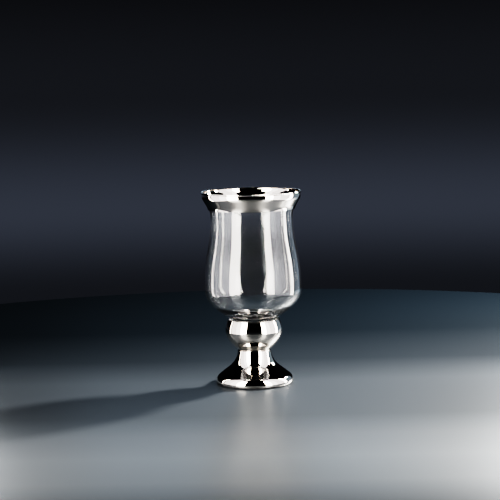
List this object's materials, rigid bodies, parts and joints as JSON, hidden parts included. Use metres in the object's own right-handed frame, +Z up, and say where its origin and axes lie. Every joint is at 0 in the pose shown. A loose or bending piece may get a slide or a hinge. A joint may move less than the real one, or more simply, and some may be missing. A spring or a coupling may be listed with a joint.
{
  "type": "footed glass vase",
  "caption": "Footed clear glass vase with a flared polished metal collar, a ball knop and a trumpet foot, standing on a felt base.",
  "frame": {"origin": "centre of the felt underside, on the table", "axes": "+Z up along the axis of revolution; +X and +Y are free, because the vase is round"},
  "size_m": [0.19, 0.19, 0.365],
  "materials": {
    "clear_glass": "polished, colourless",
    "polished_nickel": "mirror-polished nickel plate",
    "cement": "set plaster cement",
    "clear_silicone": "clear silicone",
    "brass": "turned brass, brazed",
    "zinc_steel": "zinc plated steel",
    "cast_iron": "sand cast, painted black",
    "brushed_base": "brushed plate",
    "felt": "black felt"
  },
  "bodies": {
    "root": {"glass_bowl": "clear_glass", "rim_collar": "polished_nickel", "rim_liner": "polished_nickel", "bowl_cup": "polished_nickel", "knop_upper_shell": "polished_nickel", "knop_lower_shell": "polished_nickel", "foot_shell": "polished_nickel", "rim_bedding": "cement", "bowl_adhesive": "clear_silicone", "cup_boss": "brass", "knop_ring": "brass", "centring_bush": "brass", "knop_spacer": "zinc_steel", "tie_rod": "zinc_steel", "clamp_washer": "zinc_steel", "lock_washer": "zinc_steel", "clamp_nut": "zinc_steel", "foot_weight": "cast_iron", "base_plate": "brushed_base", "felt_pad": "felt"}
  },
  "joints": []
}
